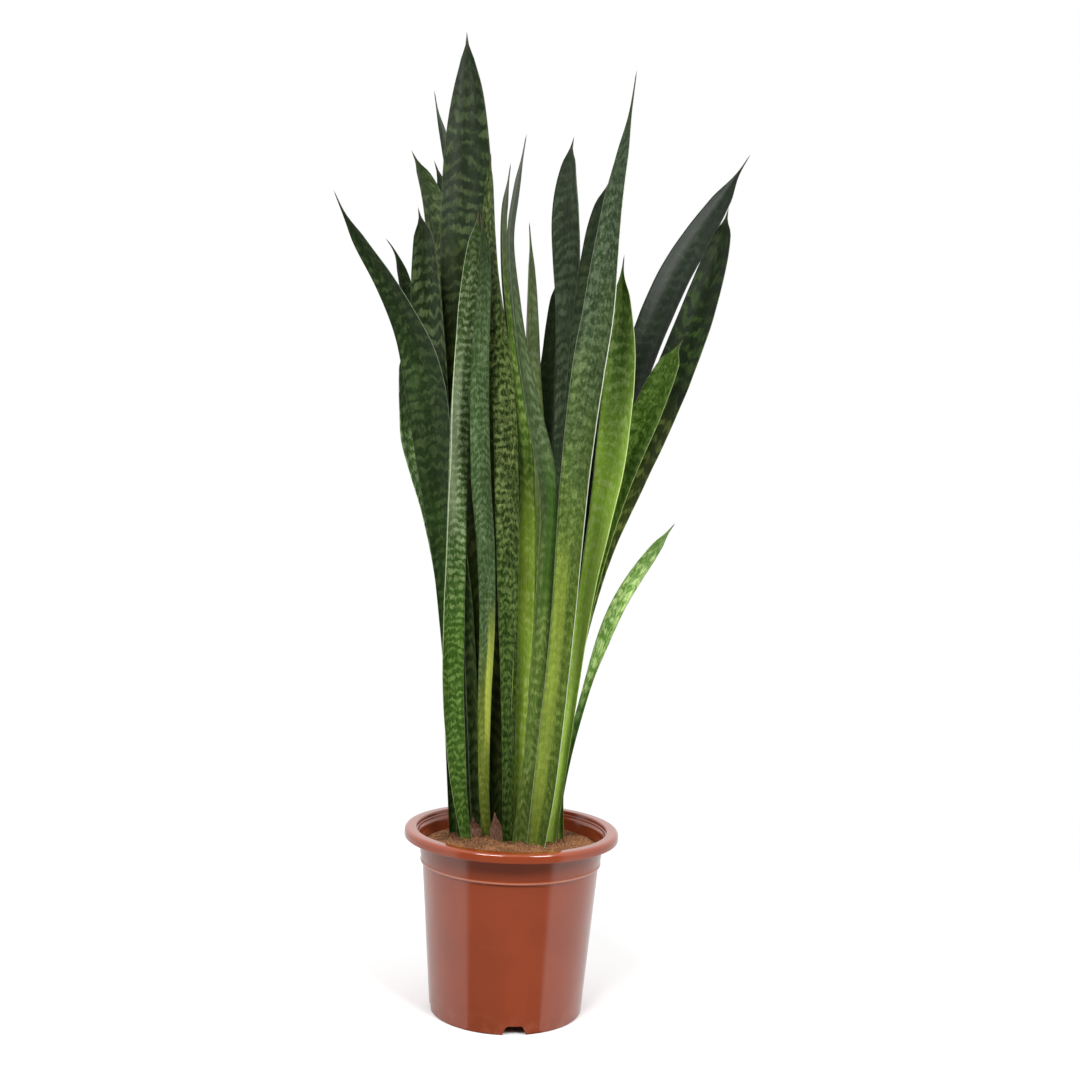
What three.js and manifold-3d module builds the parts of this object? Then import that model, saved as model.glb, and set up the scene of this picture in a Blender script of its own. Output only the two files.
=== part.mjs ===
// A snake plant growing in a round flower pot.
// Millimetres, +Z up, +Y towards the back of the plant, origin at the middle of the pot's underside.
import * as THREE from 'three';
import { mergeVertices } from 'three/addons/utils/BufferGeometryUtils.js';
import Module from 'manifold-3d';

const wasm = await Module();
wasm.setup();

// Driving dimensions
const potHeight = 206;
const rimRadius = 120;
const mouthRadius = 108.5;
const footRadius = 85.5;
const wall = 2.2;
const stepHeight = 167; // the wall steps out to the collar here
const stepRadius = 99;
const stepOut = 1.8;
const stepRise = 1.5;
const collarRadius = 105.5;
const flangeUnder = potHeight - 4; // the lip's flange leaves the collar here
const flangeSlope = 3; // the mouth slopes down to the inside wall by this much more
const lipBottom = potHeight - 10;
const lipWall = 2.6;
const lipRounding = 3;
const gutterDepth = 10.5; // the raised ring in the underside that drains to the notches
const gutterInner = 48;
const gutterOuter = 68;
const gutterDraft = 4; // its sides lean by this much from top to bottom
const floorTop = gutterDepth + 2.5;
const roundSteps = 24;

const notchCount = 4;
const notchWidth = 22;
const notchHeight = 10;
const notchStart = gutterOuter - 2;
const notchReach = 24; // from inside the gutter out past the foot
const firstNotch = -82; // degrees, measured from +X
const drainHoleCount = 4;
const drainHoleRadius = 4;
const drainHoleSides = 6;
const drainCircle = 58;

const soilTop = 187;
const soilSide = soilTop - 1; // the soil dips a little where it meets the pot
const soilMound = 1.5;
const soilFlat = 0.6; // share of the radius that lies above the soil's edge
const gap = 0.3; // clearance between pieces that touch
const collarGap = 4; // the soil reaches the collar's slope this much later
const plantedDepth = 12;

const rhizomeRadius = 9;
const rhizomeTop = soilTop - plantedDepth - gap - 0.1;

const fullTwistShare = 0.5; // a blade has made all of its turn by this share of its stations
const footTwist = 0.25; // and this share of it at the soil

const bladeRings = 12;
const bladeThickness = 1.5; // at no width, and it grows with the width
const thicknessPerWidth = 0.09;
const thickestBlade = 4.5;
const marginThinning = 0.5; // share of the thickness that is lost by the margin
const bladeDish = 0.1; // how far the margins stand forward, as a share of the width
const dishMiddle = 0.4; // square of the share of the half width that stays on the middle line's level

const leafFinish = { roughness: 0.42, metalness: 0 };
const leafTones = {
  dark: new THREE.MeshStandardMaterial({ color: 0x24361f, ...leafFinish }),
  grey: new THREE.MeshStandardMaterial({ color: 0x4b5f47, ...leafFinish }),
  mid: new THREE.MeshStandardMaterial({ color: 0x3f6126, ...leafFinish }),
  bright: new THREE.MeshStandardMaterial({ color: 0x5f8a2c, ...leafFinish }),
};
const potPlastic = new THREE.MeshStandardMaterial({ color: 0x8b4027, roughness: 0.3, metalness: 0 });
const soilMix = new THREE.MeshStandardMaterial({ color: 0x5d3a1f, roughness: 0.95, metalness: 0 });
const rootStock = new THREE.MeshStandardMaterial({ color: 0xc7a56a, roughness: 0.7, metalness: 0 });
const driedScale = new THREE.MeshStandardMaterial({ color: 0x6b4a45, roughness: 0.8, metalness: 0 });

// Each leaf is a list of stations up its middle: [x, y, height, shown width, facing].
// Facing is in degrees: 0 turns the hollow face of the blade to the front, 90 to the right.
// Turn is how many degrees further the blade has twisted by the time it is half way up.
// The shown width is what is seen from the front, so a blade that faces sideways is wider than that.
const leaves = [
  {
    name: 'leaf_front_right_tall',
    tone: 'grey',
    turn: -40,
    stations: [
      [28, -13, soilTop, 20, -5], [36, -18, 265, 25.5, -8], [43, -23, 355, 25.5, -8],
      [52, -31, 500, 27, 0], [60, -40, 670, 34, 0], [71, -45, 750, 36, 5], [77, -48, 815, 30.5, 8],
      [83, -52, 885, 22, 8], [92, -56, 945, 13, 5], [98, -58, 985, 7, 0], [103, -61, 1035, 0, 0],
    ],
  },
  {
    name: 'leaf_front_leaning_left',
    tone: 'mid',
    stations: [
      [9, -7, soilTop, 17, 25], [20, -14, 308, 17, 40], [23, -21, 430, 16, 50],
      [27, -28, 543, 19, 50], [25, -31, 593, 21, 50], [12, -36, 650, 18, 55],
      [-4, -39, 715, 12, 65], [-15, -43, 780, 8.5, 70], [-24, -48, 845, 5, 75],
      [-20, -52, 900, 3.5, 80], [-11, -56, 965, 0, 80],
    ],
  },
  {
    name: 'leaf_front_grey',
    tone: 'grey',
    turn: -30,
    stations: [
      [-28, 18, soilTop, 11, 0], [-36, 12, 290, 13, 0], [-35, 5, 400, 17, 0],
      [-39, -3, 506, 19.5, 10], [-47, -9, 585, 22, 15], [-52, -15, 670, 21.5, 20],
      [-53, -21, 759, 18.5, 28], [-51, -24, 815, 14.5, 30], [-53, -27, 855, 9.5, 30],
      [-59, -29, 884, 0, 30],
    ],
  },
  {
    name: 'leaf_front_left_pale',
    tone: 'mid',
    turn: 20,
    stations: [
      [-50, 2, soilTop, 11, 0], [-60, 1, 240, 16, 5], [-67, 0, 302, 21.5, 12],
      [-74, -2, 400, 23, 22], [-74, -5, 520, 19, 38], [-75, -8, 616, 17, 45],
      [-74, -10, 680, 18, 42], [-71, -13, 735, 22, 25], [-68, -16, 788, 23.5, 10],
      [-64, -19, 845, 18, 0], [-61, -22, 888, 0, 0],
    ],
  },
  {
    name: 'leaf_centre_mottled',
    tone: 'mid',
    turn: -45,
    stations: [
      [-4, 0, soilTop, 11, 0], [-7, -2, 305, 14.5, 5], [-12, -5, 440, 22, 10],
      [-19, -8, 590, 27.5, 10], [-26, -9, 695, 26.5, 10], [-38, -11, 770, 23, 6],
      [-47, -12, 835, 18, 0], [-50, -13, 900, 13, 0], [-50, -14, 953, 0, 0],
    ],
  },
  {
    name: 'leaf_centre_bright',
    tone: 'bright',
    stations: [
      [6, 9, soilTop, 13, 10], [6, 7, 269, 16, 15], [5, 5, 349, 23, 25], [5, 3, 460, 22, 35],
      [3, 2, 560, 17.5, 50], [-4, 2, 655, 15.5, 60], [-17, 2, 740, 11.5, 65], [-27, 0, 800, 8, 70],
      [-33, -3, 865, 4.5, 75], [-32, -5, 905, 3, 80], [-28, -7, 944, 0, 80],
    ],
  },
  {
    name: 'leaf_right_behind_tall',
    tone: 'grey',
    turn: -50,
    stations: [
      [30, 5, soilTop, 16, 0], [38, 2, 283, 19, 0], [45, -2, 397, 21, 0], [50, -5, 540, 23, 0],
      [57, -8, 680, 27, 0], [64, -10, 780, 30, 0], [68, -11, 850, 26, 0], [73, -12, 900, 15, 0],
      [83, -13, 931, 0, 0],
    ],
  },
  {
    name: 'leaf_right_lime',
    tone: 'bright',
    turn: -35,
    stations: [
      [44, 10, soilTop, 13, 0], [56, 7, 310, 16, -5], [66, 5, 400, 14.5, -18],
      [75, 1, 477, 17, -20], [86, -2, 550, 24, -18], [96, -5, 625, 32.5, -12],
      [101, -9, 715, 35, -5], [101, -11, 766, 28, 0], [99, -13, 815, 14, 0], [100, -14, 848, 0, 0],
    ],
  },
  {
    name: 'leaf_right_small',
    tone: 'bright',
    stations: [
      [48, 19, soilTop, 8, 0], [56, 17, 257, 7.5, -20], [66, 17, 309, 7.5, -32],
      [80, 20, 367, 8.5, -32], [92, 23, 407, 14, -20], [105, 25, 444, 17.5, -12],
      [120, 26, 476, 17.5, -10], [140, 27, 508, 16, -10], [157, 28, 533, 10, -10],
      [172, 29, 554, 0, -10],
    ],
  },
  {
    name: 'leaf_right_bright',
    tone: 'bright',
    turn: -45,
    stations: [
      [54, 23, soilTop, 12, 0], [51, 25, 262, 14, 0], [58, 25, 335, 14, 0], [68, 25, 415, 16, 0],
      [80, 24, 486, 19, 0], [95, 23, 555, 24, 0], [112, 22, 615, 30, 0], [131, 22, 665, 31, 0],
      [148, 21, 710, 28, 0], [163, 21, 744, 16, 0], [172, 21, 762, 0, 0],
    ],
  },
  {
    name: 'leaf_left_arching',
    tone: 'dark',
    turn: -35,
    stations: [
      [-53, 17, soilTop, 16, 0], [-63, 16, 288, 22, 0], [-73, 15, 400, 26, 0],
      [-84, 14, 500, 31, 0], [-100, 12, 610, 42, 4], [-111, 11, 682, 47, 5], [-123, 11, 730, 42, 5],
      [-141, 10, 772, 30, 0], [-164, 10, 812, 22, 0], [-190, 9, 850, 15, 0], [-210, 9, 882, 8, 0],
      [-224, 9, 910, 0, 0],
    ],
  },
  {
    name: 'leaf_centre_slim',
    tone: 'mid',
    turn: 60,
    stations: [
      [2, 24, soilTop, 14, 0], [9, 25, 243, 15, 0], [15, 26, 346, 16, 0], [19, 27, 480, 17, 0],
      [17, 29, 590, 17, 0], [9, 30, 670, 16, 0], [3, 30, 735, 15, 0], [1, 31, 788, 12, 0],
      [-2, 32, 840, 6, 0], [-6, 32, 887, 0, 0],
    ],
  },
  {
    name: 'leaf_left_chevron',
    tone: 'dark',
    turn: -40,
    stations: [
      [-40, 24, soilTop, 14, 0], [-50, 23, 290, 18, 0], [-60, 22, 405, 24, 0],
      [-78, 23, 520, 32, 0], [-96, 25, 616, 37, 0], [-108, 27, 700, 40, 0], [-116, 29, 780, 39, 0],
      [-121, 30, 840, 31, 0], [-126, 31, 876, 18, 0], [-132, 32, 899, 0, 0],
    ],
  },
  {
    name: 'leaf_left_bright',
    tone: 'bright',
    turn: 50,
    stations: [
      [-64, 30, soilTop, 15, 0], [-71, 33, 296, 19, 0], [-77, 36, 400, 21, 0],
      [-93, 40, 515, 25, 0], [-113, 42, 586, 27, -5], [-130, 44, 637, 26, -5],
      [-137, 45, 682, 20, 0], [-142, 47, 722, 14, 0], [-146, 47, 750, 0, 0],
    ],
  },
  {
    name: 'leaf_tallest_broad',
    tone: 'dark',
    stations: [
      [-14, 22, soilTop, 14, 0], [-18, 25, 265, 18, 0], [-30, 29, 385, 28, 0],
      [-48, 33, 538, 44, 0], [-61, 36, 660, 54, 0], [-69, 39, 765, 60, 0], [-75, 42, 860, 62, 0],
      [-78, 45, 930, 57, 0], [-80, 47, 990, 47, 0], [-81, 49, 1035, 33, 0], [-83, 51, 1070, 15, 0],
      [-85, 52, 1101, 0, 0],
    ],
  },
  {
    name: 'leaf_right_twin_front',
    tone: 'grey',
    turn: -50,
    stations: [
      [20, 22, soilTop, 14, 0], [30, 25, 278, 16, 0], [38, 28, 400, 17, 0], [42, 34, 560, 20, 0],
      [43, 38, 700, 23, 0], [42, 41, 800, 26, 0], [37, 44, 880, 32, 0], [35, 45, 921, 27, 0],
      [37, 46, 960, 14, 0], [41, 47, 987, 0, 0],
    ],
  },
  {
    name: 'leaf_right_shaded',
    tone: 'dark',
    turn: -55,
    stations: [
      [37, 38, soilTop, 13, 0], [47, 42, 252, 14, 0], [59, 46, 345, 15, 0], [68, 52, 450, 17, 0],
      [75, 60, 588, 19, 0], [79, 66, 690, 20, 0], [82, 71, 770, 15, 0], [85, 74, 825, 0, 0],
    ],
  },
  {
    name: 'leaf_right_banded',
    tone: 'dark',
    turn: -40,
    stations: [
      [46, 44, soilTop, 13, 0], [49, 48, 265, 14, 0], [59, 53, 355, 17, 0], [71, 58, 430, 21, 0],
      [86, 62, 500, 27, 0], [107, 66, 565, 33, 0], [132, 70, 626, 38, 0], [154, 74, 685, 41, 0],
      [176, 78, 745, 41, 0], [195, 81, 803, 37, 0], [210, 84, 856, 29, 0], [219, 86, 892, 17, 0],
      [224, 88, 921, 0, 0],
    ],
  },
  {
    name: 'leaf_left_low',
    tone: 'dark',
    turn: 55,
    stations: [
      [-62, 46, soilTop, 14, 0], [-70, 53, 292, 18, 0], [-77, 58, 400, 20, 0],
      [-91, 65, 505, 23, 0], [-107, 70, 570, 23, 0], [-120, 73, 620, 14, 0], [-128, 75, 655, 0, 0],
    ],
  },
  {
    name: 'leaf_right_twin_back',
    tone: 'dark',
    turn: -55,
    stations: [
      [14, 40, soilTop, 14, 0], [20, 46, 275, 15, 0], [25, 53, 385, 18, 0], [26, 61, 510, 21, 0],
      [25, 69, 620, 24, 0], [25, 75, 700, 25, 0], [27, 79, 765, 20, 0], [28, 82, 808, 13, 0],
      [30, 84, 839, 0, 0],
    ],
  },
  {
    name: 'leaf_back_left_mottled',
    tone: 'bright',
    turn: 45,
    stations: [
      [-34, 42, soilTop, 14, 0], [-42, 49, 275, 17, 0], [-55, 61, 420, 24, 0],
      [-73, 75, 580, 31, 0], [-89, 86, 709, 36, 0], [-103, 96, 825, 37, 0], [-114, 102, 892, 31, 0],
      [-127, 106, 935, 20, 0], [-140, 108, 960, 9, 0], [-149, 110, 978, 0, 0],
    ],
  },
  {
    name: 'leaf_back_right_slanting',
    tone: 'dark',
    turn: -45,
    stations: [
      [30, 56, soilTop, 14, 0], [46, 65, 270, 15, 0], [64, 77, 390, 18, 0], [82, 90, 515, 23, 0],
      [100, 101, 620, 28, 0], [119, 110, 702, 33, 0], [141, 118, 774, 36, 0],
      [167, 125, 840, 37, 0], [195, 131, 893, 32, 0], [220, 136, 935, 22, 0],
      [240, 140, 970, 11, 0], [254, 143, 995, 0, 0],
    ],
  },
  {
    name: 'leaf_back_left_thin',
    tone: 'mid',
    turn: 50,
    stations: [
      [-46, 60, soilTop, 13, 0], [-62, 71, 295, 17, 0], [-80, 85, 440, 23, 0],
      [-104, 101, 590, 28, 0], [-127, 112, 705, 26, 0], [-144, 120, 785, 19, 0],
      [-157, 126, 838, 11, 0], [-167, 129, 862, 5, 0], [-178, 131, 877, 0, 0],
    ],
  },
  {
    name: 'leaf_back_small_tip',
    tone: 'grey',
    stations: [
      [-22, 57, soilTop, 13, -10], [-35, 65, 260, 15, -15], [-47, 81, 400, 21, -30],
      [-64, 99, 560, 27, -35], [-79, 116, 700, 29, -40], [-92, 131, 825, 26.5, -45],
      [-103, 139, 900, 20.5, -50], [-113, 145, 942, 12, -55], [-125, 148, 975, 0, -55],
    ],
  },
  {
    name: 'leaf_back_edge_on',
    tone: 'grey',
    stations: [
      [-8, 62, soilTop, 13, -20], [-19, 70, 250, 14, -35], [-33, 88, 390, 20, -45],
      [-53, 108, 555, 26, -45], [-72, 128, 710, 25, -50], [-88, 145, 840, 19.5, -60],
      [-100, 158, 930, 13, -65], [-112, 166, 990, 7, -75], [-122, 172, 1028, 3.5, -80],
      [-130, 178, 1065, 0, -80],
    ],
  },
];

// Short dry scales that hug the leaf bases, given as leaves are
const basalScales = [
  {
    name: 'basal_scale_left',
    stations: [[-41, 9, soilTop, 9, 0], [-42, 7, 200, 9, 0], [-44, 5, 214, 0, 0]],
  },
  {
    name: 'basal_scale_centre',
    stations: [[-17, 9, soilTop, 8, 10], [-18, 6, 203, 8, 10], [-20, 4, 221, 0, 10]],
  },
];

// Points through the root stock, which lies just under the leaf bases
const rhizomeRoute = [[-56, 14], [-38, 22], [-14, 20], [6, 10], [28, 6], [50, 22]];

// Blade outline as [share of the half width, side]: side 1 is the hollow face and -1 the back
const bladeOutline = [[-1, 0], [-0.55, 1], [0, 1], [0.55, 1], [1, 0], [0.55, -1], [0, -1], [-0.55, -1]];
const outlineCap = [[0, 7, 1], [1, 6, 2], [1, 7, 6], [2, 5, 3], [2, 6, 5], [3, 5, 4]];

function toSolid(geometry) {
  const bare = geometry.clone();
  bare.deleteAttribute('normal');
  bare.deleteAttribute('uv');
  const merged = mergeVertices(bare, 1e-4);
  const vertProperties = new Float32Array(merged.attributes.position.array);
  const triVerts = new Uint32Array(merged.index.array);
  return new wasm.Manifold(new wasm.Mesh({ numProp: 3, vertProperties, triVerts }));
}

function toGeometry(solid) {
  const { vertProperties, triVerts } = solid.getMesh();
  const geometry = new THREE.BufferGeometry();
  geometry.setAttribute('position', new THREE.BufferAttribute(new Float32Array(vertProperties), 3));
  geometry.setIndex(new THREE.BufferAttribute(new Uint32Array(triVerts), 1));
  return geometry;
}

function named(name, geometry, material) {
  const mesh = new THREE.Mesh(geometry, material);
  mesh.name = name;
  return mesh;
}

// Turns a list of [radius, height] about the Z axis
function turned(profile) {
  const points = profile.map(([radius, height]) => new THREE.Vector2(radius, height));
  return new THREE.LatheGeometry(points, roundSteps).rotateX(Math.PI / 2);
}

// Reads a list of numbers at t from 0 to 1, in straight lines between its entries
function valueAt(values, t) {
  const place = t * (values.length - 1);
  const before = Math.min(Math.floor(place), values.length - 2);
  return THREE.MathUtils.lerp(values[before], values[before + 1], place - before);
}

// Where a blade faces at each of its stations, with its twist added
function twistedFacings(stations, turn) {
  return stations.map(([, , , , facing], index) => {
    const share = index / (stations.length - 1);
    const twist = THREE.MathUtils.smoothstep(share, 0, fullTwistShare);
    return facing + turn * THREE.MathUtils.lerp(footTwist, 1, twist);
  });
}

// One closed loop of points round a blade, square to its middle line
function bladeRing(middle, along, facing, width, thickness) {
  const angle = THREE.MathUtils.degToRad(facing);
  const towards = new THREE.Vector3(Math.sin(angle), -Math.cos(angle), 0);
  const across = new THREE.Vector3().crossVectors(along, towards).normalize();
  const face = new THREE.Vector3().crossVectors(across, along);
  return bladeOutline.map(([share, side]) => {
    const dish = bladeDish * width * (share * share - dishMiddle);
    const skin = 0.5 * thickness * side * (1 - marginThinning * share * share);
    return middle.clone().addScaledVector(across, 0.5 * width * share).addScaledVector(face, dish + skin);
  });
}

// A blade from its stations. Extra makes it larger all round, for the pocket that holds it.
function bladeGeometry({ stations, turn = 0 }, extra = 0) {
  const [firstX, firstY] = stations[0];
  const buried = new THREE.Vector3(firstX, firstY, soilTop - plantedDepth - extra);
  const points = [buried, ...stations.map(([x, y, z]) => new THREE.Vector3(x, y, z))];
  const twisted = twistedFacings(stations, turn);
  const facings = [twisted[0], ...twisted];
  const shownWidths = [stations[0][3], ...stations.map((station) => station[3])];
  const widths = shownWidths.map((shown, index) => {
    return shown / Math.cos(THREE.MathUtils.degToRad(facings[index]));
  });
  const path = new THREE.CatmullRomCurve3(points);

  const positions = [];
  const triangles = [];
  const sides = bladeOutline.length;
  for (let ring = 0; ring < bladeRings; ring += 1) {
    const t = ring / bladeRings;
    const width = valueAt(widths, t);
    const thickness = Math.min(bladeThickness + thicknessPerWidth * width, thickestBlade);
    const loop = bladeRing(
      path.getPoint(t), path.getTangent(t), valueAt(facings, t), width + 2 * extra, thickness + 2 * extra,
    );
    loop.forEach((point) => positions.push(point.x, point.y, point.z));
  }
  const tip = points[points.length - 1];
  positions.push(tip.x, tip.y, tip.z);

  outlineCap.forEach((corners) => triangles.push(...corners));
  for (let ring = 0; ring < bladeRings; ring += 1) {
    for (let side = 0; side < sides; side += 1) {
      const here = ring * sides + side;
      const next = ring * sides + ((side + 1) % sides);
      if (ring === bladeRings - 1) {
        triangles.push(here, next, bladeRings * sides);
      } else {
        triangles.push(here, next, next + sides, here, next + sides, here + sides);
      }
    }
  }
  const geometry = new THREE.BufferGeometry();
  geometry.setAttribute('position', new THREE.Float32BufferAttribute(positions, 3));
  geometry.setIndex(triangles);
  return geometry;
}

// The knobbly stem under the soil that the leaves grow from
function rhizomeGeometry(extra = 0) {
  const level = rhizomeTop - rhizomeRadius;
  const path = new THREE.CatmullRomCurve3(rhizomeRoute.map(([x, y]) => new THREE.Vector3(x, y, level)));
  const section = new THREE.Shape();
  const sides = 8;
  for (let side = 0; side < sides; side += 1) {
    const angle = (side / sides) * 2 * Math.PI;
    const radius = rhizomeRadius + extra;
    const corner = [radius * Math.cos(angle), radius * Math.sin(angle)];
    if (side === 0) {
      section.moveTo(...corner);
    } else {
      section.lineTo(...corner);
    }
  }
  section.closePath();
  return new THREE.ExtrudeGeometry(section, { steps: 12, bevelEnabled: false, extrudePath: path });
}

// The pot before its notches and holes are cut: underside, wall, rolled lip, inside wall and floor
function potBlank() {
  const insideStep = stepRadius + stepOut - wall;
  return turned([
    [0, 0], [gutterInner - gutterDraft, 0], [gutterInner, gutterDepth],
    [gutterOuter, gutterDepth], [gutterOuter + gutterDraft, 0], [footRadius, 0],
    [stepRadius, stepHeight], [stepRadius + stepOut, stepHeight + stepRise], [collarRadius, flangeUnder],
    [rimRadius - lipWall, flangeUnder], [rimRadius - lipWall, lipBottom], [rimRadius, lipBottom],
    [rimRadius, potHeight - lipRounding], [rimRadius - lipRounding, potHeight], [mouthRadius, potHeight],
    [collarRadius - wall, flangeUnder - flangeSlope], [insideStep, stepHeight],
    [stepRadius - wall, stepHeight - stepRise], [footRadius - wall, floorTop], [0, floorTop],
  ]);
}

function potGeometry() {
  let pot = toSolid(potBlank());
  for (let notch = 0; notch < notchCount; notch += 1) {
    const angle = THREE.MathUtils.degToRad(firstNotch + (notch * 360) / notchCount);
    const cutter = new THREE.BoxGeometry(notchReach, notchWidth, 2 * notchHeight);
    cutter.translate(notchStart + notchReach / 2, 0, 0);
    pot = pot.subtract(toSolid(cutter.rotateZ(angle)));
  }
  for (let hole = 0; hole < drainHoleCount; hole += 1) {
    const angle = ((hole + 0.5) / drainHoleCount) * 2 * Math.PI;
    const cutter = new THREE.CylinderGeometry(
      drainHoleRadius, drainHoleRadius, 3 * floorTop, drainHoleSides,
    );
    cutter.rotateX(Math.PI / 2).translate(drainCircle, 0, 0);
    pot = pot.subtract(toSolid(cutter.rotateZ(angle)));
  }
  return toGeometry(pot);
}

// The soil fills the pot to below its rim, with a pocket round each leaf base and the root stock
function soilGeometry(plantParts) {
  const inset = wall + 2 * gap;
  const stepInside = stepRadius + stepOut - inset;
  const collarInside = collarRadius - inset;
  const collarShare = (soilSide - stepHeight - collarGap) / (flangeUnder - stepHeight);
  const topRadius = THREE.MathUtils.lerp(stepInside, collarInside, collarShare);
  let soil = toSolid(turned([
    [0, floorTop + gap], [footRadius - inset, floorTop + gap],
    [stepRadius - inset, stepHeight - stepRise - gap], [stepInside, stepHeight + stepRise],
    [topRadius, soilSide],
    [soilFlat * topRadius, soilTop], [0, soilTop + soilMound],
  ]));
  plantParts.forEach((part) => {
    soil = soil.subtract(toSolid(bladeGeometry(part, gap)));
  });
  soil = soil.subtract(toSolid(rhizomeGeometry(gap)));
  return toGeometry(soil);
}

const plant = new THREE.Group();
plant.add(named('pot', potGeometry(), potPlastic));
plant.add(named('soil', soilGeometry([...leaves, ...basalScales]), soilMix));
plant.add(named('rhizome', rhizomeGeometry(), rootStock));
leaves.forEach((leaf) => {
  plant.add(named(leaf.name, bladeGeometry(leaf), leafTones[leaf.tone]));
});
basalScales.forEach((scale) => {
  plant.add(named(scale.name, bladeGeometry(scale), driedScale));
});

export default plant;
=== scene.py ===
import math
import random

import bmesh
import bpy
from mathutils import Matrix, Vector, noise


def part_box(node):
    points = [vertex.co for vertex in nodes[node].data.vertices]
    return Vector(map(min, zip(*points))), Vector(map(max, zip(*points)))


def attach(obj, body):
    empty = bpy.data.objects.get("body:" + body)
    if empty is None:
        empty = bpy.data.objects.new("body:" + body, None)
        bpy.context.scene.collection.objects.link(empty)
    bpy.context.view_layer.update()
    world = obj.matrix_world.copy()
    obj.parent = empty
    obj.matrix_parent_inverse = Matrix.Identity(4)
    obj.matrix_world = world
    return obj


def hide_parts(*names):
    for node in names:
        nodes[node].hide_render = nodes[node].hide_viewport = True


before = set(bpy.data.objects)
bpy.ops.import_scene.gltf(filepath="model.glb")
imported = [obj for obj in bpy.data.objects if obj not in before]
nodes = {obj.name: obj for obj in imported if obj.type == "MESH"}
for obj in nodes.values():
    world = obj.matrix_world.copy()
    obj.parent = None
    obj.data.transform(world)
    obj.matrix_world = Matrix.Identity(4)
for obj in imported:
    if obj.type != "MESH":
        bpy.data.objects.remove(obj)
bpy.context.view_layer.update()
scene = bpy.context.scene
mm = 0.001


# Small helpers

def paint(red, green, blue):
    # A colour as it looks on screen, 0 to 255, turned into the linear values that shaders use
    def linear(value):
        share = value / 255
        return share / 12.92 if share <= 0.04045 else ((share + 0.055) / 1.055) ** 2.4
    return (linear(red), linear(green), linear(blue), 1.0)


def addSocket(tree, name, kind, way="INPUT", value=None):
    socket = tree.interface.new_socket(name, in_out=way, socket_type=kind)
    if value is not None:
        socket.default_value = value


def addNode(tree, kind, inputs=None, **settings):
    node = tree.nodes.new(kind)
    for key, value in settings.items():
        setattr(node, key, value)
    for key, value in (inputs or {}).items():
        if isinstance(value, bpy.types.NodeSocket):
            tree.links.new(value, node.inputs[key])
        else:
            node.inputs[key].default_value = value
    return node


def maths(tree, operation, *values):
    return addNode(tree, "ShaderNodeMath", dict(enumerate(values)), operation=operation).outputs[0]


def times(tree, first, second):
    return maths(tree, "MULTIPLY", first, second)


def plus(tree, first, second):
    return maths(tree, "ADD", first, second)


def minus(tree, first, second):
    return maths(tree, "SUBTRACT", first, second)


def vectorMaths(tree, operation, *values):
    return addNode(tree, "ShaderNodeVectorMath", dict(enumerate(values)), operation=operation).outputs[0]


def scaled(tree, vector, factor):
    return addNode(tree, "ShaderNodeVectorMath", {0: vector, "Scale": factor}, operation="SCALE").outputs[0]


def parted(tree, vector):
    return addNode(tree, "ShaderNodeSeparateXYZ", {0: vector}).outputs


def joined(tree, x=0.0, y=0.0, z=0.0):
    return addNode(tree, "ShaderNodeCombineXYZ", {"X": x, "Y": y, "Z": z}).outputs[0]


def ramp(tree, value, low, high, toLow=0.0, toHigh=1.0):
    # Eases from toLow to toHigh as value goes from low to high
    settings = {"Value": value, "From Min": low, "From Max": high, "To Min": toLow, "To Max": toHigh}
    return addNode(tree, "ShaderNodeMapRange", settings, interpolation_type="SMOOTHSTEP").outputs[0]


def blendColor(tree, factor, first, second, way="MIX"):
    settings = {0: factor, 6: first, 7: second}
    return addNode(tree, "ShaderNodeMix", settings, data_type="RGBA", blend_type=way).outputs[2]


def cloud(tree, vector, scale=1.0, detail=2.0, roughness=0.5):
    settings = {"Vector": vector, "Scale": scale, "Detail": detail, "Roughness": roughness}
    return addNode(tree, "ShaderNodeTexNoise", settings, noise_dimensions="3D").outputs[0]


def groupWith(name, kind, inputs, outputs):
    # An input is given by the number it starts with, or by the kind of thing it takes
    tree = bpy.data.node_groups.new(name, kind)
    for label, given in inputs.items():
        if isinstance(given, str):
            addSocket(tree, label, "NodeSocket" + given)
        else:
            number = "NodeSocketInt" if isinstance(given, int) else "NodeSocketFloat"
            addSocket(tree, label, number, "INPUT", given)
    for label, socketKind in outputs.items():
        addSocket(tree, label, "NodeSocket" + socketKind, "OUTPUT")
    return tree, tree.nodes.new("NodeGroupInput").outputs, tree.nodes.new("NodeGroupOutput").inputs


def addPiece(name, mesh):
    piece = bpy.data.objects.new(name, mesh)
    scene.collection.objects.link(piece)
    return piece


def settle(piece):
    # Turns what the modifiers make into the piece's own plain mesh
    evaluated = piece.evaluated_get(bpy.context.evaluated_depsgraph_get())
    mesh = bpy.data.meshes.new_from_object(evaluated)
    piece.modifiers.clear()
    piece.data = mesh
    mesh.name = piece.name
    return piece


def growWith(piece, tree, values):
    # Runs a geometry tree on the piece with these values for its inputs
    modifier = piece.modifiers.new(tree.name, "NODES")
    modifier.node_group = tree
    for item in tree.interface.items_tree:
        if item.in_out == "INPUT" and item.name in values:
            modifier[item.identifier] = values[item.name]
    return settle(piece)


def meshFrom(name, vertices, faces):
    mesh = bpy.data.meshes.new(name)
    mesh.from_pydata(vertices, [], faces)
    mesh.update()
    return mesh


# Leaves

leafShape = {
    "rings": 120,
    "pointsAround": 24,
    "thickness": 1.2 * mm,
    "thicknessPerWidth": 0.07,
    "greatestThickness": 4.2 * mm,
    "dish": 0.2,
    "footDish": 0.42,
    "ripple": 0.03,
    "rippleLength": 60 * mm,
    "tipWidth": 1.1 * mm,
    "spineWidth": 1.8 * mm,
    "widen": 1.0,
}

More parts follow.
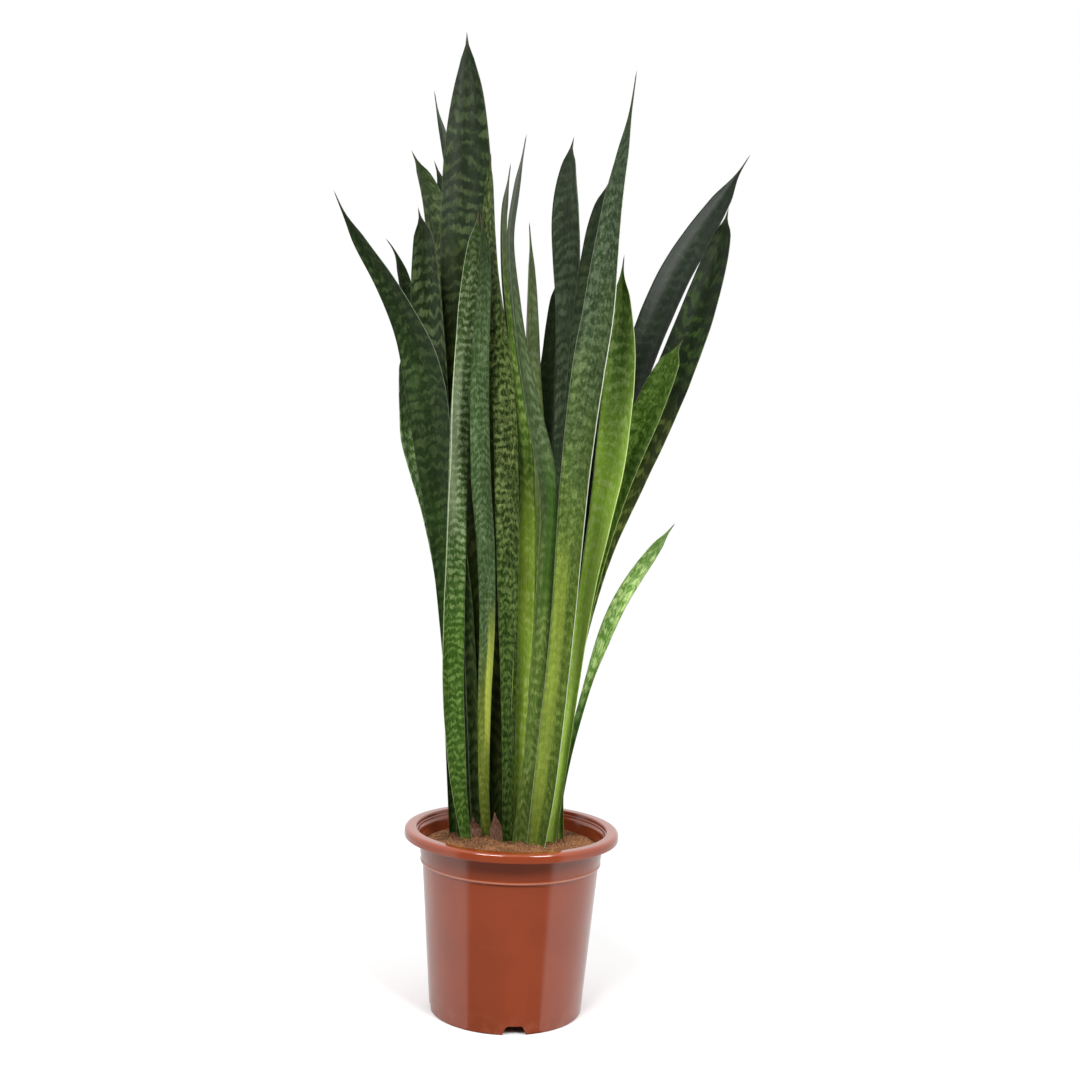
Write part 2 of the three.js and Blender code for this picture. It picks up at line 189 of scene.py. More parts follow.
# What each leaf looks like: its darker and paler green, the same two near its foot, how strong, long and
# slanted its crossbands are, how flecked it is, and the share of its height where the foot colours end.
# A stripe lies at a place from 0, the left margin, to 1. Margins are the strengths of the pale edge lines,
# which are partly the leaf's own pale rim and partly a painted highlight.
plainLeaf = {
    "contrast": 0.6, "band": 14, "slant": 5, "mottle": 0.35, "foot": 0.25, "footBlend": 0.35,
    "margin": (150, 168, 120), "margins": (0.15, 0.15), "spine": (70, 60, 44), "spineReach": 0.03,
    "stripe": (160, 176, 70), "stripeStrength": 0.0, "stripePlace": 0.3, "stripeWidth": 0.25,
    "stripeFrom": 0.0, "stripeTo": 0.3, "spineLength": 12,
}
# Besides each leaf's own colour, these greens hold painted light and shade: some are raised to light up a leaf
# that its neighbours shadow, some are darkened to paint the shade a leaf stands in.
leafLooks = {
    "leaf_front_right_tall": {
        "deep": (44, 60, 36), "pale": (102, 119, 90), "footDeep": (72, 98, 32), "footPale": (132, 152, 72),
        "contrast": 0.45, "mottle": 0.8, "foot": 0.29, "footBlend": 0.5, "spineLength": 34,
        "margin": (226, 232, 214), "margins": (0.35, 0.9), "spineReach": 0.06, "stripe": (150, 168, 66),
        "stripeStrength": 0.65, "stripePlace": 0.25, "stripeWidth": 0.3, "stripeTo": 0.34,
    },
    "leaf_front_leaning_left": {
        "deep": (60, 78, 44), "pale": (112, 128, 90), "footDeep": (84, 112, 42), "footPale": (156, 176, 96),
        "contrast": 0.5, "mottle": 0.5, "spineLength": 20, "spine": (84, 88, 80), "spineReach": 0.3,
        "stripe": (50, 88, 16), "stripeStrength": 0.8, "stripePlace": 0.8, "stripeWidth": 0.4,
        "stripeFrom": 0.35, "stripeTo": 0.5,
    },
    "leaf_front_grey": {
        "deep": (50, 74, 34), "pale": (122, 140, 104), "footDeep": (90, 106, 34),
        "footPale": (152, 160, 78),
        "contrast": 0.35, "mottle": 0.5, "band": 9, "foot": 0.2, "footBlend": 0.2, "stripe": (204, 216, 92),
        "stripeStrength": 0.75, "stripePlace": 0.78, "stripeWidth": 0.38, "stripeFrom": 0.17,
        "stripeTo": 0.31,
    },
    "leaf_front_left_pale": {
        "deep": (56, 84, 34), "pale": (150, 168, 124), "footDeep": (48, 80, 20), "footPale": (104, 132, 62),
        "contrast": 0.95, "band": 9, "slant": 1, "mottle": 0.5, "foot": 0.35, "footBlend": 0.25,
        "margin": (186, 204, 158), "margins": (0.7, 0.25), "stripe": (176, 190, 154), "stripeStrength": 0.5,
        "stripeWidth": 0.45, "stripeFrom": 0.52, "stripeTo": 0.72,
    },
    "leaf_centre_mottled": {
        "deep": (36, 56, 14), "pale": (136, 154, 90), "footDeep": (28, 50, 8), "footPale": (92, 114, 54),
        "band": 10, "mottle": 0.8, "slant": 2, "margins": (0.3, 0.1),
    },
    # Its greens are raised as painted light, where its neighbours shadow it
    "leaf_centre_bright": {
        "deep": (62, 92, 24), "pale": (150, 176, 90), "footDeep": (150, 186, 60),
        "footPale": (216, 234, 130),
        "contrast": 0.5, "mottle": 0.4, "foot": 0.4, "footBlend": 0.2, "spine": (84, 88, 74),
        "spineReach": 0.25, "spineLength": 18, "stripe": (176, 206, 70), "stripeStrength": 0.6,
        "stripePlace": 0.4, "stripeWidth": 0.3, "stripeFrom": 0.3, "stripeTo": 0.45,
    },
    "leaf_right_behind_tall": {
        "deep": (38, 52, 30), "pale": (76, 92, 60), "footDeep": (50, 72, 26), "footPale": (94, 114, 60),
        "contrast": 0.45, "mottle": 0.5,
    },
    # Its foot greens are partly raised as painted light, where it is turned away from the lamp
    "leaf_right_lime": {
        "deep": (92, 130, 52), "pale": (172, 204, 116), "footDeep": (168, 214, 74),
        "footPale": (208, 236, 134), "mottle": 0.75, "foot": 0.62, "footBlend": 0.3,
        "margin": (200, 214, 150), "margins": (0.1, 0.7), "spineLength": 18, "stripe": (204, 238, 114),
        "stripeStrength": 0.7, "stripePlace": 0.6, "stripeWidth": 0.3, "stripeTo": 0.5,
    },
    "leaf_right_small": {
        "deep": (88, 130, 50), "pale": (186, 210, 138), "footDeep": (52, 84, 34), "footPale": (96, 130, 74),
        "contrast": 0.7, "mottle": 0.85, "band": 17, "slant": 1, "margins": (0.3, 0.3),
    },
    "leaf_right_bright": {
        "deep": (60, 92, 26), "pale": (136, 166, 82), "footDeep": (118, 154, 52),
        "footPale": (176, 202, 108),
        "contrast": 0.4, "mottle": 0.85, "foot": 0.45, "margin": (180, 198, 140), "margins": (0.5, 0.3),
    },
    "leaf_left_arching": {
        "deep": (28, 46, 18), "pale": (76, 94, 54), "footDeep": (38, 62, 20), "footPale": (78, 104, 54),
        "contrast": 0.5, "margin": (130, 146, 124), "margins": (0.1, 0.55), "spineLength": 24,
    },
    "leaf_centre_slim": {
        "deep": (92, 108, 64), "pale": (150, 166, 122), "footDeep": (160, 184, 100),
        "footPale": (216, 230, 156),
        "contrast": 0.45, "mottle": 0.5, "foot": 0.5, "spineLength": 20,
    },
    "leaf_left_chevron": {
        "deep": (32, 50, 20), "pale": (106, 126, 78), "footDeep": (44, 64, 26), "footPale": (92, 112, 60),
        "contrast": 0.75, "band": 16, "slant": 12, "mottle": 0.2,
    },
    # Its greens are raised as painted light, where the arching leaf shadows it
    "leaf_left_bright": {
        "deep": (66, 108, 38), "pale": (172, 200, 136), "footDeep": (40, 68, 18),
        "footPale": (100, 128, 66),
        "contrast": 0.7, "mottle": 0.6,
    },
    "leaf_tallest_broad": {
        "deep": (26, 40, 18), "pale": (80, 98, 58), "footDeep": (34, 46, 14), "footPale": (68, 80, 34),
        "contrast": 0.7, "band": 17, "slant": 9, "mottle": 0.2, "foot": 0.62, "footBlend": 0.12,
    },
    "leaf_right_twin_front": {
        "deep": (46, 60, 40), "pale": (92, 106, 80), "footDeep": (50, 72, 26), "footPale": (98, 120, 60),
        "slant": 7,
    },
    # Its dark greens paint the shade it stands in
    "leaf_right_shaded": {
        "deep": (24, 38, 16), "pale": (54, 70, 42), "footDeep": (36, 54, 16), "footPale": (72, 92, 42),
    },
    "leaf_right_banded": {
        "deep": (20, 34, 12), "pale": (56, 78, 32), "footDeep": (84, 102, 38), "footPale": (176, 194, 100),
        "contrast": 0.9, "band": 22, "slant": 1, "mottle": 0.25, "foot": 0.5, "footBlend": 0.2,
    },
    "leaf_left_low": {
        "deep": (26, 42, 16), "pale": (60, 82, 42), "footDeep": (36, 58, 18), "footPale": (80, 102, 54),
    },
    "leaf_right_twin_back": {
        "deep": (36, 54, 26), "pale": (70, 90, 52), "footDeep": (32, 50, 14), "footPale": (64, 84, 36),
        "contrast": 0.4,
    },
    "leaf_back_left_mottled": {
        "deep": (46, 68, 22), "pale": (124, 146, 92), "footDeep": (50, 72, 26), "footPale": (100, 122, 60),
        "contrast": 0.75, "mottle": 0.5, "slant": 8,
    },
    "leaf_back_right_slanting": {
        "deep": (26, 38, 24), "pale": (56, 68, 48), "footDeep": (44, 62, 26), "footPale": (86, 104, 54),
        "contrast": 0.5, "margins": (0.3, 0.15), "margin": (112, 124, 104), "spineLength": 26,
    },
    "leaf_back_left_thin": {
        "deep": (36, 54, 26), "pale": (86, 104, 62), "footDeep": (44, 64, 24), "footPale": (88, 108, 56),
        "spineLength": 18,
    },
    "leaf_back_small_tip": {
        "deep": (34, 50, 24), "pale": (84, 100, 60), "footDeep": (42, 62, 24), "footPale": (86, 106, 54),
    },
    "leaf_back_edge_on": {
        "deep": (40, 56, 34), "pale": (84, 98, 68), "footDeep": (44, 64, 24), "footPale": (88, 108, 56),
        "spineLength": 22,
    },
}


def makeBladeTree():
    # A sword blade along a guide line whose points carry the blade's half width and two directions
    tree, given, result = groupWith("swordBlade", "GeometryNodeTree", {
        "Geometry": "Geometry",
        "Rings": 100,
        "Points Around": 24,
        "Thickness": 0.001,
        "Thickness Per Width": 0.07,
        "Greatest Thickness": 0.004,
        "Dish": 0.1,
        "Foot Dish": 0.2,
        "Ripple": 0.03,
        "Ripple Length": 0.06,
        "Spine Length": 0.016,
        "Spine Width": 0.0016,
        "Seed": 0.0,
        "Skin": "Material",
    }, {"Geometry": "Geometry"})

    line = addNode(tree, "GeometryNodeMeshToCurve", {0: given["Geometry"]}).outputs[0]
    line = addNode(tree, "GeometryNodeCurveSplineType", {0: line}, spline_type="CATMULL_ROM").outputs[0]
    line = addNode(tree, "GeometryNodeResampleCurve", {"Curve": line, "Count": given["Rings"]}).outputs[0]

    columns = plus(tree, given["Points Around"], 1)
    gridSize = {"Size X": 1.0, "Size Y": 1.0, "Vertices X": columns, "Vertices Y": given["Rings"]}
    grid = addNode(tree, "GeometryNodeMeshGrid", gridSize).outputs["Mesh"]
    place = parted(tree, tree.nodes.new("GeometryNodeInputPosition").outputs[0])
    turn = times(tree, plus(tree, place["X"], 0.5), 2 * math.pi)
    up = plus(tree, place["Y"], 0.5)
    lastRow = minus(tree, given["Rings"], 1)
    row = maths(tree, "ROUND", times(tree, up, lastRow))

    def fromLine(value, kind):
        inputs = {"Geometry": line, "Value": value, "Index": row}
        return addNode(tree, "GeometryNodeSampleIndex", inputs, data_type=kind, domain="POINT").outputs[0]

    def carried(name, kind):
        attribute = addNode(tree, "GeometryNodeInputNamedAttribute", {"Name": name}, data_type=kind)
        return fromLine(attribute.outputs[0], kind)

    middle = fromLine(tree.nodes.new("GeometryNodeInputPosition").outputs[0], "FLOAT_VECTOR")
    along = fromLine(tree.nodes.new("GeometryNodeSplineParameter").outputs["Length"], "FLOAT")
    length = addNode(tree, "GeometryNodeCurveLength", {0: line}).outputs[0]
    fromTip = minus(tree, length, along)
    across = vectorMaths(tree, "NORMALIZE", carried("across", "FLOAT_VECTOR"))
    face = vectorMaths(tree, "NORMALIZE", carried("face", "FLOAT_VECTOR"))
    halfWidth = carried("halfWidth", "FLOAT")
    # The blade draws in to a thin spine before its tip
    spineEnd = times(tree, given["Spine Length"], 2.6)
    blunt = ramp(tree, fromTip, times(tree, given["Spine Length"], 0.5), spineEnd)
    spineHalf = times(tree, given["Spine Width"], ramp(tree, fromTip, 0.0, given["Spine Length"], 0.25, 0.6))
    drawnIn = addNode(tree, "ShaderNodeMix", {0: blunt, 2: spineHalf, 3: halfWidth}, data_type="FLOAT")
    halfWidth = drawnIn.outputs[0]

    # The first and the last row close to a point
    beforeLast = maths(tree, "LESS_THAN", row, minus(tree, lastRow, 0.5))
    isOpen = times(tree, maths(tree, "GREATER_THAN", row, 0.5), beforeLast)
    share = times(tree, maths(tree, "COSINE", turn), -1.0)
    squared = times(tree, share, share)
    width = times(tree, halfWidth, 2.0)
    thick = plus(tree, given["Thickness"], times(tree, width, given["Thickness Per Width"]))
    thick = maths(tree, "MINIMUM", thick, given["Greatest Thickness"])
    thick = maths(tree, "MINIMUM", thick, width)
    sine = maths(tree, "SINE", turn)
    swell = maths(tree, "POWER", maths(tree, "ABSOLUTE", sine), 0.65)
    skin = times(tree, times(tree, swell, maths(tree, "SIGN", sine)), times(tree, thick, 0.5))
    dish = ramp(tree, up, 0.0, 0.45, given["Foot Dish"], given["Dish"])
    hollow = times(tree, minus(tree, squared, 1.0), times(tree, dish, width))

    # Slow waves that are strongest at the margins
    wavePlace = joined(tree, share, maths(tree, "DIVIDE", along, given["Ripple Length"]), given["Seed"])
    wave = minus(tree, cloud(tree, wavePlace, 1.0, 1.0), 0.5)
    wave = times(tree, times(tree, wave, squared), times(tree, width, given["Ripple"]))

    sideways = times(tree, times(tree, halfWidth, share), isOpen)
    forward = plus(tree, plus(tree, skin, hollow), times(tree, wave, 2.0))
    forward = times(tree, forward, isOpen)
    point = vectorMaths(tree, "ADD", middle, scaled(tree, across, sideways))
    point = vectorMaths(tree, "ADD", point, scaled(tree, face, forward))

    uv = joined(tree, times(tree, plus(tree, share, 1.0), 0.5), along)

    def stored(geometry, name, value, kind, domain):
        inputs = {"Geometry": geometry, "Name": name, "Value": value}
        node = addNode(tree, "GeometryNodeStoreNamedAttribute", inputs, data_type=kind, domain=domain)
        return node.outputs[0]

    blade = stored(grid, "UVMap", uv, "FLOAT2", "CORNER")
    blade = stored(blade, "height", up, "FLOAT", "POINT")
    blade = addNode(tree, "GeometryNodeSetPosition", {"Geometry": blade, "Position": point}).outputs[0]
    blade = addNode(tree, "GeometryNodeMergeByDistance", {"Geometry": blade, "Distance": 0.002 * mm}).outputs[0]
    blade = addNode(tree, "GeometryNodeSetShadeSmooth", {"Geometry": blade}).outputs[0]
    blade = addNode(tree, "GeometryNodeRealizeInstances", {"Geometry": blade}).outputs[0]
    blade = addNode(tree, "GeometryNodeSetMaterial", {"Geometry": blade, "Material": given["Skin"]}).outputs[0]
    tree.links.new(blade, result["Geometry"])
    return tree


def readRings(node):
    # The rings of a CAD blade from its tip down, found by walking out from its highest corner
    form = bmesh.new()
    form.from_mesh(node.data)
    bmesh.ops.remove_doubles(form, verts=form.verts, dist=0.01 * mm)
    tip = max(form.verts, key=lambda corner: corner.co.z)
    seen = {tip}
    ring = [tip]
    rings = [[tip.co.copy()]]
    while True:
        following = []
        for corner in ring:
            for edge in corner.link_edges:
                other = edge.other_vert(corner)
                if other not in seen:
                    seen.add(other)
                    following.append(other)
        if not following:
            break
        rings.append([corner.co.copy() for corner in following])
        ring = following
    form.free()
    return rings


def marginsOf(ring):
    pairs = [(first, second) for k, first in enumerate(ring) for second in ring[k + 1:]]
    return max(pairs, key=lambda pair: (pair[0] - pair[1]).length)


def guideFrom(name, node, tipWidth, widen):
    # A line up the middle of a CAD blade, from foot to tip, that carries its width and directions
    rings = readRings(node)
    tip = rings[0][0]
    stations = []
    for ring in reversed(rings[1:]):
        first, second = marginsOf(ring)
        inner = [corner for corner in ring if corner not in (first, second)]
        innerMiddle = sum(inner, Vector()) / len(inner)
        marginMiddle = (first + second) / 2
        stations.append([first, second, marginMiddle, (marginMiddle - innerMiddle).normalized()])
    points, across, face, halfWidths = [], [], [], []
    for k, (first, second, marginMiddle, forward) in enumerate(stations):
        above = stations[k + 1][2] if k + 1 < len(stations) else tip
        below = stations[k - 1][2] if k else marginMiddle
        rising = (above - below).normalized()
        side = (second - first)
        if side.dot(rising.cross(forward)) < 0:
            side = -side
        points.append(marginMiddle)
        across.append(side.normalized())
        face.append(forward)
        halfWidths.append(side.length / 2 * widen)
    points.append(tip)
    across.append(across[-1])
    face.append(face[-1])
    halfWidths.append(tipWidth / 2)

    mesh = bpy.data.meshes.new(name)
    mesh.from_pydata(points, [(k, k + 1) for k in range(len(points) - 1)], [])
    for label, vectors in (("across", across), ("face", face)):
        layer = mesh.attributes.new(label, "FLOAT_VECTOR", "POINT")
        for k, vector in enumerate(vectors):
            layer.data[k].vector = vector
    layer = mesh.attributes.new("halfWidth", "FLOAT", "POINT")
    for k, value in enumerate(halfWidths):
        layer.data[k].value = value
    return mesh


def makeLeafGroup():
    # The skin of a leaf: ragged crossbands of paler green, flecks, fine lines, pale margins that are partly a
    # painted highlight, painted shade at the margins and tip, and a dry spine
    tree, given, result = groupWith("leafSkin", "ShaderNodeTree", {
        "Deep": "Color",
        "Pale": "Color",
        "Foot Deep": "Color",
        "Foot Pale": "Color",
        "Stripe": "Color",
        "Margin": "Color",
        "Spine": "Color",
        "Contrast": 0.6,
        "Band Length": 0.011,
        "Slant": 0.003,
        "Mottle": 0.4,
        "Foot Reach": 0.3,
        "Foot Blend": 0.3,
        "Stripe Strength": 0.0,
        "Stripe Place": 0.3,
        "Stripe Width": 0.25,
        "Stripe Low": 0.0,
        "Stripe High": 0.4,
        "Left Margin": 0.2,
        "Right Margin": 0.2,
        "Spine Reach": 0.03,
        "Seed": 0.0,
    }, {"Color": "Color", "Roughness": "Float", "Height": "Float"})
    uv = addNode(tree, "ShaderNodeUVMap", uv_map="UVMap").outputs[0]
    place = parted(tree, uv)
    up = addNode(tree, "ShaderNodeAttribute", attribute_name="height").outputs["Fac"]
    side = times(tree, maths(tree, "ABSOLUTE", minus(tree, place["X"], 0.5)), 2.0)
    seed = times(tree, given["Seed"], 3.7)
    bands = maths(tree, "DIVIDE", place["Y"], given["Band Length"])

    def product(first, second):
        return times(tree, first, second)

    def total(first, second):
        return plus(tree, first, second)

    def patches(acrossScale, alongPlace, alongScale, detail=2.0, roughness=0.5):
        spot = joined(tree, product(place["X"], acrossScale), product(alongPlace, alongScale), seed)
        return cloud(tree, spot, 1.0, detail, roughness)

    # Crossbands that wander, thicken and break up
    bend = minus(tree, patches(2.2, bands, 0.25, 1.0), 0.5)
    ragged = minus(tree, patches(7.0, bands, 0.9, 3.0, 0.65), 0.5)
    tilt = product(product(side, side), maths(tree, "DIVIDE", given["Slant"], given["Band Length"]))
    phase = total(total(bands, tilt), total(product(bend, 2.0), product(ragged, 1.3)))
    wave = maths(tree, "SINE", product(phase, 2 * math.pi))
    threshold = ramp(tree, patches(3.0, bands, 0.35, 2.0), 0.3, 0.7, 0.75, -0.55)
    band = ramp(tree, minus(tree, wave, threshold), -0.45, 0.65)
    broken = ramp(tree, patches(5.0, bands, 0.55, 3.0, 0.65), 0.36, 0.6, 0.15, 1.0)
    band = product(product(band, broken), product(given["Contrast"], ramp(tree, up, 0.86, 0.99, 1.0, 0.25)))
    fleck = product(ramp(tree, patches(16.0, place["Y"], 260.0, 2.0, 0.6), 0.5, 0.66), given["Mottle"])
    cells = product(ramp(tree, patches(9.0, place["Y"], 110.0, 2.0, 0.6), 0.46, 0.62), given["Mottle"])
    pale = maths(tree, "MINIMUM", total(total(band, product(fleck, 0.45)), product(cells, 0.4)), 1.0)

    slow = minus(tree, patches(1.2, place["Y"], 9.0, 1.0), 0.5)
    footEdge = total(given["Foot Reach"], product(slow, 0.3))
    foot = ramp(tree, up, footEdge, total(footEdge, given["Foot Blend"]), 1.0, 0.0)
    deep = blendColor(tree, foot, given["Deep"], given["Foot Deep"])
    light = blendColor(tree, foot, given["Pale"], given["Foot Pale"])
    color = blendColor(tree, pale, deep, light)

    # A long bright stripe on one part of the blade
    wandering = total(place["X"], product(slow, 0.2))
    offset = maths(tree, "ABSOLUTE", minus(tree, wandering, given["Stripe Place"]))
    stripe = ramp(tree, offset, product(given["Stripe Width"], 0.45), given["Stripe Width"], 1.0, 0.0)
    lowEnd, highEnd = given["Stripe Low"], given["Stripe High"]
    stripe = product(stripe, ramp(tree, up, total(lowEnd, -0.03), total(lowEnd, 0.04)))
    stripe = product(stripe, ramp(tree, up, highEnd, total(highEnd, 0.1), 1.0, 0.0))
    stripe = product(stripe, product(given["Stripe Strength"], total(0.75, product(pale, 0.25))))
    color = blendColor(tree, stripe, color, given["Stripe"])

    # Fine lines along the blade and slow changes of tone. Painted shade darkens the margins and the tip, and
    # the blade is also darker towards the soil
    fine = patches(46.0, place["Y"], 9.0, 3.0, 0.65)
    shade = ramp(tree, fine, 0.32, 0.68, 0.8, 1.14)
    shade = product(shade, ramp(tree, patches(1.5, place["Y"], 14.0, 2.0), 0.3, 0.7, 0.84, 1.12))
    # Painted shade: darker towards both margins
    shade = product(shade, ramp(tree, side, 0.8, 0.97, 1.0, 0.78))
    # Painted shade: darker towards the tip
    shade = product(shade, ramp(tree, up, 0.72, 0.98, 1.0, 0.62))
    shade = product(shade, ramp(tree, up, 0.02, 0.14, 0.66, 1.0))
    color = blendColor(tree, 1.0, color, joined(tree, shade, shade, shade), "MULTIPLY")
    # Pale edge lines along the margins: partly the leaf's own pale rim, partly a painted highlight
    left = product(ramp(tree, place["X"], 0.0, 0.03, 1.0, 0.0), given["Left Margin"])
    right = product(ramp(tree, place["X"], 0.97, 1.0), given["Right Margin"])
    color = blendColor(tree, maths(tree, "MINIMUM", total(left, right), 1.0), color, given["Margin"])
    dry = ramp(tree, up, minus(tree, 1.0, given["Spine Reach"]), 1.0)
    color = blendColor(tree, product(dry, 0.9), color, given["Spine"])
    tree.links.new(color, result["Color"])
    rough = total(total(product(fine, 0.14), product(dry, 0.25)), product(pale, 0.05))
    tree.links.new(total(rough, 0.3), result["Roughness"])
    tree.links.new(total(product(fine, 0.75), product(pale, 0.25)), result["Height"])
    return tree


def newMaterial(name):
    material = bpy.data.materials.new(name)
    material.use_nodes = True
    tree = material.node_tree
    return material, tree, tree.nodes["Principled BSDF"]


def wear(tree, shader, skin, strength, depth):
    # Joins a skin group's colour, roughness and height to the shader
    bump = addNode(tree, "ShaderNodeBump", {
        "Height": skin.outputs["Height"], "Strength": strength, "Distance": depth,
    })
    tree.links.new(skin.outputs["Color"], shader.inputs["Base Color"])
    tree.links.new(skin.outputs["Roughness"], shader.inputs["Roughness"])
    tree.links.new(bump.outputs[0], shader.inputs["Normal"])


def leafMaterial(name, group, look, seed):
    material, tree, shader = newMaterial(name)
    values = {
        "Deep": paint(*look["deep"]), "Pale": paint(*look["pale"]),
        "Foot Deep": paint(*look["footDeep"]), "Foot Pale": paint(*look["footPale"]),
        "Stripe": paint(*look["stripe"]), "Margin": paint(*look["margin"]), "Spine": paint(*look["spine"]),
        "Contrast": look["contrast"], "Band Length": look["band"] * mm, "Slant": look["slant"] * mm,
        "Mottle": look["mottle"], "Foot Reach": look["foot"], "Foot Blend": look["footBlend"],
        "Stripe Strength": look["stripeStrength"], "Stripe Place": look["stripePlace"],
        "Stripe Width": look["stripeWidth"], "Stripe Low": look["stripeFrom"], "Stripe High": look["stripeTo"],
        "Left Margin": look["margins"][0], "Right Margin": look["margins"][1],
        "Spine Reach": look["spineReach"], "Seed": float(seed),
    }
    skin = addNode(tree, "ShaderNodeGroup", node_tree=group)
    for label, value in values.items():
        skin.inputs[label].default_value = value
    wear(tree, shader, skin, 0.25, 0.4 * mm)
    shader.inputs["Specular IOR Level"].default_value = 0.15
    return material


def growBlade(name, nodeName, tree, skin, shape, seed):
    piece = addPiece(name, guideFrom(name, nodes[nodeName], shape["tipWidth"], shape["widen"]))
    return growWith(piece, tree, {
        "Rings": shape["rings"], "Points Around": shape["pointsAround"], "Thickness": shape["thickness"],
        "Thickness Per Width": shape["thicknessPerWidth"], "Greatest Thickness": shape["greatestThickness"],
        "Dish": shape["dish"], "Foot Dish": shape["footDish"], "Ripple": shape["ripple"],
        "Ripple Length": shape["rippleLength"], "Spine Length": shape["spineLength"],
        "Spine Width": shape["spineWidth"], "Seed": float(seed), "Skin": skin,
    })


bladeTree = makeBladeTree()
leafGroup = makeLeafGroup()
for count, (nodeName, ownLook) in enumerate(leafLooks.items()):
    look = {**plainLeaf, **ownLook}
    skin = leafMaterial("skin_" + nodeName, leafGroup, look, count)
    ownShape = {**leafShape, "spineLength": look["spineLength"] * mm}
    leaf = growBlade("grown_" + nodeName, nodeName, bladeTree, skin, ownShape, count)
    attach(leaf, "root")
    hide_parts(nodeName)
print("leaves grown:", len(leafLooks))


# Dry scales at the leaf bases

scaleShape = {
    **leafShape,
    "rings": 40,
    "thickness": 0.5 * mm,
    "thicknessPerWidth": 0.01,
    "greatestThickness": 0.8 * mm,
    "dish": 0.35,
    "footDish": 0.3,
    "ripple": 0.25,
    "rippleLength": 9 * mm,
    "tipWidth": 0.8 * mm,
    "spineLength": 3 * mm,
    "widen": 1.7,
    "dark": (74, 46, 36),
    "light": (162, 124, 98),
    "firstSeed": 40,
}


def scaleMaterial():
    material, tree, shader = newMaterial("dryScale")
    uv = addNode(tree, "ShaderNodeUVMap", uv_map="UVMap").outputs[0]
    stretched = addNode(tree, "ShaderNodeMapping", {"Vector": uv, "Scale": (30, 160, 1)}).outputs[0]
    fibres = cloud(tree, stretched, 1.0, 4.0, 0.65)
    dark, light = paint(*scaleShape["dark"]), paint(*scaleShape["light"])
    color = blendColor(tree, ramp(tree, fibres, 0.35, 0.65), dark, light)
    tree.links.new(color, shader.inputs["Base Color"])
    bump = addNode(tree, "ShaderNodeBump", {"Height": fibres, "Strength": 0.7, "Distance": 0.5 * mm})
    tree.links.new(bump.outputs[0], shader.inputs["Normal"])
    tree.links.new(plus(tree, 0.6, times(tree, fibres, 0.3)), shader.inputs["Roughness"])
    return material


scaleSkin = scaleMaterial()
for count, nodeName in enumerate(("basal_scale_left", "basal_scale_centre")):
    seed = scaleShape["firstSeed"] + count
    scale = growBlade("papery_" + nodeName, nodeName, bladeTree, scaleSkin, scaleShape, seed)
    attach(scale, "root")
    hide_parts(nodeName)
print("dry scales grown")


# Pot

potLow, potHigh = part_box("pot")
potShape = {
    "steps": 192,
    "rim": potHigh.x,
    "height": potHigh.z,
    "mouth": 107 * mm,
    "foot": 85.5 * mm,
    "stepHeight": 167 * mm,
    "step": 99 * mm,
    "stepOut": 1.8 * mm,
    "bead": 0.6 * mm,
    "collar": 105.5 * mm,
    "lipHeight": 10 * mm,
    "wall": 2.2 * mm,
    "gutterInner": 48 * mm,
    "gutterOuter": 68 * mm,
    "gutterDraft": 4 * mm,
    "gutterDepth": 10.5 * mm,
    "floorTop": 13 * mm,
    "notchCount": 4,
    "notchWidth": 26 * mm,
    "notchTop": 18 * mm,
    "notchHeight": 10 * mm,
    "notchReach": 24 * mm,  # how far a cutter goes from inside the drain ring out past the foot
    "notchOut": 10 * mm,  # from the drain ring to the middle of a cutter
    "notchRounding": 1.2 * mm,
    "firstNotch": math.radians(-82),
    "holeCount": 4,
    "holeRadius": 4 * mm,
    "holeCircle": 58 * mm,
    "ribAbove": 2.6 * mm,
    # how strongly the pale highlight line is painted along the bead
    "paintedHighlight": 0.6,
    "gloss": 0.6,
    "coat": 0.45,
    "coatRoughness": 0.07,
    "color": (143, 61, 29),
    # pale dust colour, also used for the painted highlight line on the bead
    "dust": (206, 144, 118),
}


def roundedOutline(corners, turns=6):
    # Corners are (radius, height, rounding). A rounded corner becomes a short arc.
    outline = []
    for k, (x, z, rounding) in enumerate(corners):
        here = Vector((x, z))
        if rounding == 0 or k in (0, len(corners) - 1):
            outline.append(here)
            continue
        before = Vector(corners[k - 1][:2]) - here
        after = Vector(corners[k + 1][:2]) - here
        reach = min(rounding, before.length * 0.45, after.length * 0.45)
        start = here + before.normalized() * reach
        end = here + after.normalized() * reach
        for turn in range(turns + 1):
            t = turn / turns
            outline.append(start * (1 - t) ** 2 + here * 2 * t * (1 - t) + end * t ** 2)
    return outline


def turnedMesh(name, outline, steps):
    # Turns an outline that starts and ends on the axis about Z, and closes it at both poles
    form = bmesh.new()
    rings = []
    for point in outline:
        if point.x < 0.01 * mm:
            rings.append([form.verts.new((0, 0, point.y))])
            continue
        ring = []
        for step in range(steps):
            angle = 2 * math.pi * step / steps
            ring.append(form.verts.new((point.x * math.cos(angle), point.x * math.sin(angle), point.y)))
        rings.append(ring)
    for lower, upper in zip(rings, rings[1:]):
        for step in range(steps):
            after = (step + 1) % steps
            if len(lower) == 1:
                form.faces.new((lower[0], upper[after], upper[step]))
            elif len(upper) == 1:
                form.faces.new((lower[step], lower[after], upper[0]))
            else:
                form.faces.new((lower[step], lower[after], upper[after], upper[step]))
    bmesh.ops.recalc_face_normals(form, faces=form.faces)
    mesh = bpy.data.meshes.new(name)
    form.to_mesh(mesh)
    form.free()
    return mesh


